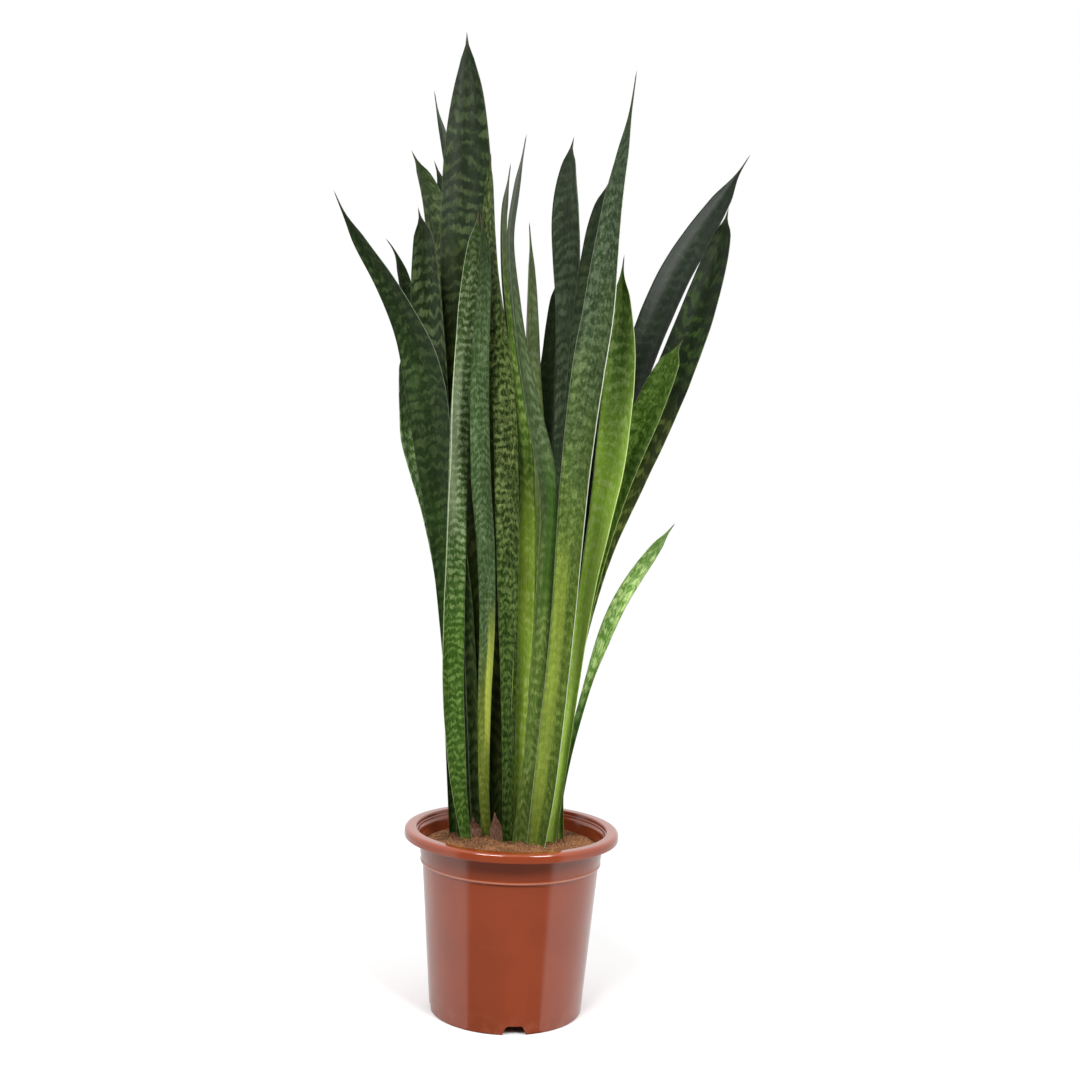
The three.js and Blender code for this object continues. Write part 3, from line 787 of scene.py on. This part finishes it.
def potOutline(s):
    flangeUnder = s["height"] - 4 * mm
    lipBottom = s["height"] - s["lipHeight"]
    insideStep = s["step"] + s["stepOut"] - s["wall"]
    bead = s["step"] + s["stepOut"] + s["bead"]
    return roundedOutline([
        (0, 0, 0), (s["gutterInner"] - s["gutterDraft"], 0, 1 * mm),
        (s["gutterInner"], s["gutterDepth"], 1 * mm), (s["gutterOuter"], s["gutterDepth"], 1 * mm),
        (s["gutterOuter"] + s["gutterDraft"], 0, 1 * mm), (s["foot"], 0, 2 * mm),
        (s["step"], s["stepHeight"], 0.6 * mm),
        (bead, s["stepHeight"] + 1.0 * mm, 0.7 * mm),
        (bead + 0.2 * mm, s["stepHeight"] + 3.0 * mm, 1.0 * mm),
        (bead - 0.5 * mm, s["stepHeight"] + 4.6 * mm, 0.6 * mm),
        (s["collar"], flangeUnder, 1.2 * mm),
        (s["rim"] - 3 * mm, flangeUnder, 1 * mm), (s["rim"] - 2.6 * mm, lipBottom, 0.8 * mm),
        (s["rim"], lipBottom, 1.2 * mm), (s["rim"], s["height"], 4.5 * mm),
        (s["mouth"], s["height"], 1.6 * mm), (s["mouth"] - 0.8 * mm, s["height"] - 5 * mm, 1.5 * mm),
        (s["collar"] - s["wall"], flangeUnder - 5 * mm, 1.5 * mm),
        (insideStep, s["stepHeight"] + 0.5 * mm, 1 * mm),
        (s["step"] - s["wall"], s["stepHeight"] - 1.5 * mm, 1 * mm),
        (s["foot"] - s["wall"], s["floorTop"], 3 * mm), (0, s["floorTop"], 0),
    ])


def potCutters(s):
    form = bmesh.new()
    for notch in range(s["notchCount"]):
        angle = s["firstNotch"] + 2 * math.pi * notch / s["notchCount"]
        size = Matrix.Diagonal((s["notchReach"], 1, 2 * s["notchHeight"], 1))
        out = Matrix.Translation((s["gutterOuter"] + s["notchOut"], 0, 0))
        cube = bmesh.ops.create_cube(form, size=1, matrix=size)["verts"]
        for corner in cube:
            # Narrower at the top than at the foot
            share = 0.5 - 0.5 * corner.co.z / s["notchHeight"]
            corner.co.y *= s["notchTop"] + (2 * s["notchWidth"] - s["notchTop"] * 2) * share
            corner.co = Matrix.Rotation(angle, 4, "Z") @ out @ corner.co
    topEdges = [edge for edge in form.edges if edge.verts[0].co.z > 0 and edge.verts[1].co.z > 0]
    bmesh.ops.bevel(form, geom=topEdges, offset=s["notchRounding"], segments=3, affect="EDGES")
    for hole in range(s["holeCount"]):
        angle = 2 * math.pi * (hole + 0.5) / s["holeCount"]
        out = Matrix.Translation((s["holeCircle"], 0, s["gutterDepth"]))
        radius, turn = s["holeRadius"], Matrix.Rotation(angle, 4, "Z")
        bmesh.ops.create_cone(form, cap_ends=True, segments=32, radius1=radius, radius2=radius,
                              depth=2 * s["floorTop"], matrix=turn @ out)
    mesh = bpy.data.meshes.new("potCutters")
    form.to_mesh(mesh)
    form.free()
    return addPiece("potCutters", mesh)


def makePlasticGroup():
    # Moulded plastic: faint clouding, fine scuffs that dull the gloss, a little dust low down, and a thin pale
    # line painted along the bead as a highlight
    tree, given, result = groupWith("mouldedPlastic", "ShaderNodeTree", {
        "Color": "Color",
        "Dust": "Color",
        "Gloss Roughness": 0.12,
        "Wear": 0.12,
        "Rubbed Height": 0.17,
        "Rubbed": 0.4,
    }, {"Color": "Color", "Roughness": "Float", "Height": "Float"})
    spot = tree.nodes.new("ShaderNodeTexCoord").outputs["Object"]
    clouding = cloud(tree, spot, 14.0, 3.0)
    grain = cloud(tree, spot, 900.0, 2.0)
    scuffSpot = addNode(tree, "ShaderNodeMapping", {"Vector": spot, "Scale": (25, 25, 160)}).outputs[0]
    scuffs = ramp(tree, cloud(tree, scuffSpot, 1.0, 4.0, 0.7), 0.58, 0.75)
    scuffs = times(tree, scuffs, given["Wear"])
    shade = ramp(tree, clouding, 0.3, 0.7, 0.93, 1.06)
    color = blendColor(tree, 1.0, given["Color"], joined(tree, shade, shade, shade), "MULTIPLY")
    height = parted(tree, spot)["Z"]
    low = ramp(tree, height, 0.0, 0.03, 0.15, 0.0)
    dust = times(tree, low, ramp(tree, cloud(tree, spot, 60.0, 4.0), 0.4, 0.7))
    dust = plus(tree, dust, times(tree, scuffs, 0.12))
    # A thin pale line along the bead above the step, in the pale dust colour: a painted highlight
    offRib = maths(tree, "ABSOLUTE", minus(tree, height, given["Rubbed Height"]))
    paintedHighlight = times(tree, ramp(tree, offRib, 0.4 * mm, 1.3 * mm, 1.0, 0.0), given["Rubbed"])
    color = blendColor(tree, maths(tree, "MAXIMUM", dust, paintedHighlight), color, given["Dust"])
    tree.links.new(color, result["Color"])
    rough = plus(tree, given["Gloss Roughness"], times(tree, clouding, 0.06))
    rough = plus(tree, rough, times(tree, scuffs, 0.2))
    tree.links.new(rough, result["Roughness"])
    tree.links.new(plus(tree, grain, times(tree, scuffs, -0.6)), result["Height"])
    return tree


def potMaterial():
    material, tree, shader = newMaterial("terracottaPlastic")
    plastic = addNode(tree, "ShaderNodeGroup", node_tree=makePlasticGroup())
    plastic.inputs["Color"].default_value = paint(*potShape["color"])
    plastic.inputs["Dust"].default_value = paint(*potShape["dust"])
    plastic.inputs["Rubbed Height"].default_value = potShape["stepHeight"] + potShape["ribAbove"]
    plastic.inputs["Rubbed"].default_value = potShape["paintedHighlight"]
    wear(tree, shader, plastic, 0.12, 0.1 * mm)
    shader.inputs["Specular IOR Level"].default_value = potShape["gloss"]
    shader.inputs["Coat Weight"].default_value = potShape["coat"]
    shader.inputs["Coat Roughness"].default_value = potShape["coatRoughness"]
    return material


def makePot():
    pot = addPiece("turnedPot", turnedMesh("turnedPot", potOutline(potShape), potShape["steps"]))
    cutters = potCutters(potShape)
    cut = pot.modifiers.new("notches", "BOOLEAN")
    cut.operation = "DIFFERENCE"
    cut.solver = "EXACT"
    cut.object = cutters
    settle(pot)
    bpy.data.objects.remove(cutters)
    pot.data.materials.clear()
    pot.data.materials.append(potMaterial())
    pot.data.shade_smooth()
    pot.data.set_sharp_from_angle(angle=math.radians(40))
    return pot


pot = makePot()
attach(pot, "root")
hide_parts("pot")
print("pot turned:", len(pot.data.polygons), "faces")


# Soil

soilLow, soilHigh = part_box("soil")
soilShape = {
    "radius": soilHigh.x - 0.2 * mm,
    "bottom": soilLow.z,
    "bottomRadius": 81 * mm,
    "top": soilHigh.z - 1.5 * mm,
    "edgeDrop": 2.0 * mm,
    "lumps": 2.6 * mm,
    "mound": 1.0 * mm,
    "rings": 70,
    "steps": 160,
    "crumbs": 190000,  # per square metre
    "fibres": 26000,
    "mix": ((46, 30, 20), (160, 112, 76), 420.0),  # darker, paler, and how fine its grain is
    "peat": ((44, 28, 20), (170, 120, 82), 700.0),
    "coir": ((110, 66, 36), (188, 142, 98), 200.0),
}


def soilHeight(x, y, s):
    spot = Vector((x, y, 0))
    out = spot.length / s["radius"]
    big = noise.noise(spot * 34) * 0.9
    small = noise.noise(spot * 120 + Vector((3, 7, 1))) * 0.45
    tiny = noise.noise(spot * 420 + Vector((9, 2, 5))) * 0.25
    lift = (big + small + tiny) * s["lumps"] * (1 - 0.6 * out ** 6)
    return s["top"] + s["mound"] * (1 - out * out) - s["edgeDrop"] * out ** 4 + lift


def makeSoil(s):
    form = bmesh.new()
    centre = form.verts.new((0, 0, soilHeight(0, 0, s)))
    rings = []
    for ring in range(1, s["rings"] + 1):
        radius = s["radius"] * ring / s["rings"]
        around = []
        for step in range(s["steps"]):
            angle = 2 * math.pi * step / s["steps"]
            x, y = radius * math.cos(angle), radius * math.sin(angle)
            around.append(form.verts.new((x, y, soilHeight(x, y, s))))
        rings.append(around)
    under = []
    for step in range(s["steps"]):
        angle = 2 * math.pi * step / s["steps"]
        x, y = s["bottomRadius"] * math.cos(angle), s["bottomRadius"] * math.sin(angle)
        under.append(form.verts.new((x, y, s["bottom"])))
    rings.append(under)
    base = form.verts.new((0, 0, s["bottom"]))
    for step in range(s["steps"]):
        after = (step + 1) % s["steps"]
        form.faces.new((centre, rings[0][step], rings[0][after]))
        for inner, outer in zip(rings, rings[1:]):
            form.faces.new((inner[step], outer[step], outer[after], inner[after]))
        form.faces.new((base, under[after], under[step]))
    bmesh.ops.recalc_face_normals(form, faces=form.faces)
    mesh = bpy.data.meshes.new("pottingSoil")
    form.to_mesh(mesh)
    form.free()
    mesh.shade_smooth()
    return addPiece("pottingSoil", mesh)


def makeScatterTree():
    # Scatters copies of one small shape over the upper side of a surface
    tree, given, result = groupWith("scatterOnTop", "GeometryNodeTree", {
        "Geometry": "Geometry",
        "Shape": "Object",
        "Density": 1000.0,
        "Reach": 0.09,
        "Smallest": 0.5,
        "Largest": 1.5,
        "Tilt": 0.5,
        "Lift": 0.0,
        "Seed": 0,
        "Skin": "Material",
    }, {"Geometry": "Geometry"})
    upward = parted(tree, tree.nodes.new("GeometryNodeInputNormal").outputs[0])["Z"]
    spot = parted(tree, tree.nodes.new("GeometryNodeInputPosition").outputs[0])
    flat = joined(tree, spot["X"], spot["Y"])
    away = addNode(tree, "ShaderNodeVectorMath", {0: flat}, operation="LENGTH").outputs["Value"]
    within = maths(tree, "LESS_THAN", away, given["Reach"])
    chosen = times(tree, maths(tree, "GREATER_THAN", upward, 0.3), within)
    points = addNode(tree, "GeometryNodeDistributePointsOnFaces", {
        "Mesh": given["Geometry"], "Selection": chosen, "Density": given["Density"], "Seed": given["Seed"],
    }, distribute_method="RANDOM").outputs["Points"]
    lift = joined(tree, 0.0, 0.0, given["Lift"])
    points = addNode(tree, "GeometryNodeSetPosition", {"Geometry": points, "Offset": lift}).outputs[0]
    shape = addNode(tree, "GeometryNodeObjectInfo", {"Object": given["Shape"]}).outputs["Geometry"]

    def chance(low, high, kind, seedShift):
        seed = plus(tree, given["Seed"], seedShift)
        node = addNode(tree, "FunctionNodeRandomValue", {"Seed": seed}, data_type=kind)
        first = 0 if kind == "FLOAT_VECTOR" else 2
        for index, value in ((first, low), (first + 1, high)):
            if isinstance(value, bpy.types.NodeSocket):
                tree.links.new(value, node.inputs[index])
            else:
                node.inputs[index].default_value = value
        return node.outputs[0 if kind == "FLOAT_VECTOR" else 1]

    leaning = times(tree, given["Tilt"], math.pi)
    less = times(tree, leaning, -1.0)
    leastTurn, mostTurn = joined(tree, less, less, 0.0), joined(tree, leaning, leaning, 2 * math.pi)
    turn = chance(leastTurn, mostTurn, "FLOAT_VECTOR", 11)
    size = chance(given["Smallest"], given["Largest"], "FLOAT", 23)
    copies = addNode(tree, "GeometryNodeInstanceOnPoints", {
        "Points": points, "Instance": shape, "Rotation": turn, "Scale": joined(tree, size, size, size),
    }).outputs[0]
    whole = addNode(tree, "GeometryNodeRealizeInstances", {"Geometry": copies}).outputs[0]
    whole = addNode(tree, "GeometryNodeSetMaterial", {"Geometry": whole, "Material": given["Skin"]}).outputs[0]
    tree.links.new(whole, result["Geometry"])
    return tree


def crumbShape(name, seed, stretch):
    form = bmesh.new()
    bmesh.ops.create_icosphere(form, subdivisions=1, radius=1.3 * mm)
    for corner in form.verts:
        push = 1 + 0.45 * noise.noise(corner.co * 900 + Vector((seed, 0, seed * 3)))
        corner.co = Vector((corner.co.x * stretch, corner.co.y, corner.co.z * 0.8)) * push
    mesh = bpy.data.meshes.new(name)
    form.to_mesh(mesh)
    form.free()
    mesh.shade_smooth()
    return addPiece(name, mesh)


def fibreShape(name, length, bow, seed):
    # A thin four-sided strand that bows sideways and a little upwards
    random.seed(seed)
    segments, sides, radius = 7, 4, 0.22 * mm
    vertices, faces = [], []
    for ring in range(segments + 1):
        t = ring / segments
        taper = radius * (0.25 + 0.75 * math.sin(math.pi * min(max(t, 0.08), 0.92)))
        sideBow, upBow = bow * math.sin(math.pi * t), 0.35 * bow * math.sin(2.4 * math.pi * t)
        middle = Vector((length * (t - 0.5), sideBow, upBow))
        middle += Vector((0, random.uniform(-1, 1), random.uniform(-1, 1))) * 0.4 * mm
        for side in range(sides):
            angle = 2 * math.pi * side / sides
            vertices.append(middle + Vector((0, math.cos(angle), math.sin(angle))) * taper)
    for ring in range(segments):
        for side in range(sides):
            here, after = ring * sides + side, ring * sides + (side + 1) % sides
            faces.append((here, after, after + sides, here + sides))
    faces.append(tuple(reversed(range(sides))))
    faces.append(tuple(range(segments * sides, (segments + 1) * sides)))
    mesh = meshFrom(name, vertices, faces)
    mesh.shade_smooth()
    return addPiece(name, mesh)


def makeEarthGroup():
    # Moist peat and coir: dark and light crumbs with red-brown fibres between them
    tree, given, result = groupWith("earth", "ShaderNodeTree", {
        "Dark": "Color",
        "Light": "Color",
        "Grain": 300.0,
    }, {"Color": "Color", "Roughness": "Float", "Height": "Float"})
    spot = tree.nodes.new("ShaderNodeTexCoord").outputs["Object"]
    coarse = cloud(tree, spot, given["Grain"], 4.0, 0.7)
    broad = cloud(tree, spot, 28.0, 2.0)
    blend = plus(tree, times(tree, coarse, 0.7), times(tree, broad, 0.3))
    color = blendColor(tree, ramp(tree, blend, 0.35, 0.66), given["Dark"], given["Light"])
    tree.links.new(color, result["Color"])
    tree.links.new(ramp(tree, coarse, 0.2, 0.8, 0.98, 0.8), result["Roughness"])
    tree.links.new(coarse, result["Height"])
    return tree


def earthMaterial(name, group, dark, light, grain):
    material, tree, shader = newMaterial(name)
    earth = addNode(tree, "ShaderNodeGroup", node_tree=group)
    earth.inputs["Dark"].default_value = paint(*dark)
    earth.inputs["Light"].default_value = paint(*light)
    earth.inputs["Grain"].default_value = grain
    wear(tree, shader, earth, 0.8, 1 * mm)
    shader.inputs["Specular IOR Level"].default_value = 0.2
    return material


def scatterOver(surface, name, tree, shape, values):
    piece = addPiece(name, surface.data.copy())
    growWith(piece, tree, {"Shape": shape, **values})
    bpy.data.objects.remove(shape)
    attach(piece, "root")
    return piece


soil = makeSoil(soilShape)
earthGroup = makeEarthGroup()
soil.data.materials.append(earthMaterial("pottingMix", earthGroup, *soilShape["mix"]))
crumbSkin = earthMaterial("peatCrumbs", earthGroup, *soilShape["peat"])
fibreSkin = earthMaterial("coirFibre", earthGroup, *soilShape["coir"])
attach(soil, "root")
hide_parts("soil")
scatterTree = makeScatterTree()
crumbs = scatterOver(soil, "soilCrumbs", scatterTree, crumbShape("crumb", 4, 1.2), {
    "Density": float(soilShape["crumbs"]), "Reach": soilShape["radius"] - 3 * mm, "Smallest": 0.35,
    "Largest": 1.5, "Tilt": 1.0, "Lift": 0.1 * mm, "Seed": 3, "Skin": crumbSkin,
})
fibres = scatterOver(soil, "coirFibres", scatterTree, fibreShape("fibre", 12 * mm, 3 * mm, 5), {
    "Density": float(soilShape["fibres"]), "Reach": soilShape["radius"] - 9 * mm, "Smallest": 0.4,
    "Largest": 1.3, "Tilt": 0.12, "Lift": 0.9 * mm, "Seed": 8, "Skin": fibreSkin,
})
print("soil made:", len(crumbs.data.polygons), "crumb faces,", len(fibres.data.polygons), "fibre faces")


# Root stock, hidden under the soil

def rootMaterial():
    material, tree, shader = newMaterial("rootStock")
    spot = tree.nodes.new("ShaderNodeTexCoord").outputs["Object"]
    rings = cloud(tree, spot, 160.0, 4.0, 0.6)
    color = blendColor(tree, ramp(tree, rings, 0.35, 0.65), paint(176, 130, 70), paint(226, 196, 140))
    tree.links.new(color, shader.inputs["Base Color"])
    tree.links.new(plus(tree, 0.5, times(tree, rings, 0.3)), shader.inputs["Roughness"])
    bump = addNode(tree, "ShaderNodeBump", {"Height": rings, "Strength": 0.5, "Distance": 1 * mm})
    tree.links.new(bump.outputs[0], shader.inputs["Normal"])
    return material


rhizome = nodes["rhizome"]
if not rhizome.material_slots:
    rhizome.data.materials.append(None)
rhizome.material_slots[0].material = rootMaterial()
print("root stock coloured")


# Floor, light and camera

studio = {
    "floorSize": 12.0,
    "floorShade": paint(240, 240, 240),
    "floorGlow": (0.3, 1.3),  # from here to here the floor turns as white as the room
    "floorMirrored": (0.15, 0.72),  # how bright it is in reflections, in front and at the sides
    "floorBounced": 0.45,  # how much of its light the floor throws back on the plant
    "roomLight": 0.95,
    "darkSide": 0.04,  # the room behind the camera
    "darkWedge": (50, 63),  # degrees either side of the front
    "wedgeFrom": (0.044, -0.079),  # where the same wedge starts on the floor
    "lampsLookAt": (0, 0, 0.45),
    "keyPower": 70.0,
    "keyPlace": (-1.0, -2.1, 2.5),
    "keySize": (1.3, 1.0),
    "fillPower": 62.0,
    "fillPlace": (1.5, -1.9, 2.3),
    "fillSize": (1.0, 1.0),
}
viewpoint = {
    "place": (0.0196, -1.647, 0.613),
    "lens": 49.27,  # millimetres, on a 36 mm wide sensor
    "down": 0.05,  # radians below level
    "roll": 0.038,
}


def areaLight(name, spot, target, width, height, power):
    light = bpy.data.lights.new(name, "AREA")
    light.shape = "RECTANGLE"
    light.size = width
    light.size_y = height
    light.energy = power
    lamp = bpy.data.objects.new(name, light)
    scene.collection.objects.link(lamp)
    lamp.location = spot
    lamp.rotation_euler = (Vector(target) - Vector(spot)).to_track_quat("-Z", "Y").to_euler()


def makeFloor():
    half = studio["floorSize"] / 2
    corners = [(-half, -half, 0), (half, -half, 0), (half, half, 0), (-half, half, 0)]
    floor = addPiece("studioFloor", meshFrom("studioFloor", corners, [(0, 1, 2, 3)]))
    material, tree, shader = newMaterial("studioPaper")
    spot = tree.nodes.new("ShaderNodeTexCoord").outputs["Object"]
    away = addNode(tree, "ShaderNodeVectorMath", {0: spot}, operation="LENGTH").outputs["Value"]
    near = ramp(tree, away, *studio["floorGlow"], 1.0, 0.0)
    path = tree.nodes.new("ShaderNodeLightPath").outputs
    place = parted(tree, spot)
    sideways = minus(tree, maths(tree, "ABSOLUTE", place["X"]), studio["wedgeFrom"][0])
    turn = maths(tree, "ARCTAN2", sideways, minus(tree, studio["wedgeFrom"][1], place["Y"]))
    wedge = [math.radians(angle) for angle in studio["darkWedge"]]
    front, sides = studio["floorMirrored"]
    lost = ramp(tree, turn, *wedge, 1.0 - front, 1.0 - sides)
    mirrored = times(tree, path["Is Glossy Ray"], lost)
    bounced = times(tree, path["Is Diffuse Ray"], 1.0 - studio["floorBounced"])
    seen = minus(tree, 1.0, maths(tree, "MAXIMUM", mirrored, bounced))
    color = blendColor(tree, near, (0, 0, 0, 1), studio["floorShade"])
    color = blendColor(tree, seen, (0, 0, 0, 1), color)
    glow = blendColor(tree, near, (1, 1, 1, 1), (0, 0, 0, 1))
    glow = blendColor(tree, seen, (0, 0, 0, 1), glow)
    tree.links.new(color, shader.inputs["Base Color"])
    tree.links.new(glow, shader.inputs["Emission Color"])
    shader.inputs["Emission Strength"].default_value = 1.0
    shader.inputs["Roughness"].default_value = 0.9
    shader.inputs["Specular IOR Level"].default_value = 0.0
    floor.data.materials.append(material)


def makeRoom():
    # A white room that is dark behind the camera, and plain white where the camera sees it
    world = bpy.data.worlds.new("whiteRoom")
    scene.world = world
    world.use_nodes = True
    tree = world.node_tree
    background = tree.nodes["Background"]
    background.inputs["Color"].default_value = (1, 1, 1, 1)
    way = parted(tree, tree.nodes.new("ShaderNodeTexCoord").outputs["Generated"])
    turn = maths(tree, "ARCTAN2", maths(tree, "ABSOLUTE", way["X"]), times(tree, way["Y"], -1.0))
    wedge = [math.radians(angle) for angle in studio["darkWedge"]]
    bright = ramp(tree, turn, *wedge, studio["darkSide"], studio["roomLight"])
    high = ramp(tree, way["Z"], 0.45, 0.75)
    missing = minus(tree, studio["roomLight"], bright)
    bright = plus(tree, bright, times(tree, high, missing))
    seen = tree.nodes.new("ShaderNodeLightPath").outputs["Is Camera Ray"]
    strength = plus(tree, bright, times(tree, seen, minus(tree, 1.0, bright)))
    tree.links.new(strength, background.inputs["Strength"])


def makeLights():
    for lamp in ("key", "fill"):
        place, power = studio[lamp + "Place"], studio[lamp + "Power"]
        areaLight(lamp + "Box", place, studio["lampsLookAt"], *studio[lamp + "Size"], power)


def makeCamera():
    camera = bpy.data.cameras.new("camera")
    camera.sensor_width = 36
    camera.lens = viewpoint["lens"]
    eye = bpy.data.objects.new("camera", camera)
    scene.collection.objects.link(eye)
    tilt = Matrix.Rotation(math.pi / 2 - viewpoint["down"], 4, "X")
    roll = Matrix.Rotation(viewpoint["roll"], 4, "Z")
    eye.matrix_world = Matrix.Translation(viewpoint["place"]) @ tilt @ roll
    scene.camera = eye


makeFloor()
makeRoom()
makeLights()
makeCamera()
scene.view_settings.view_transform = "Standard"
print("studio ready")
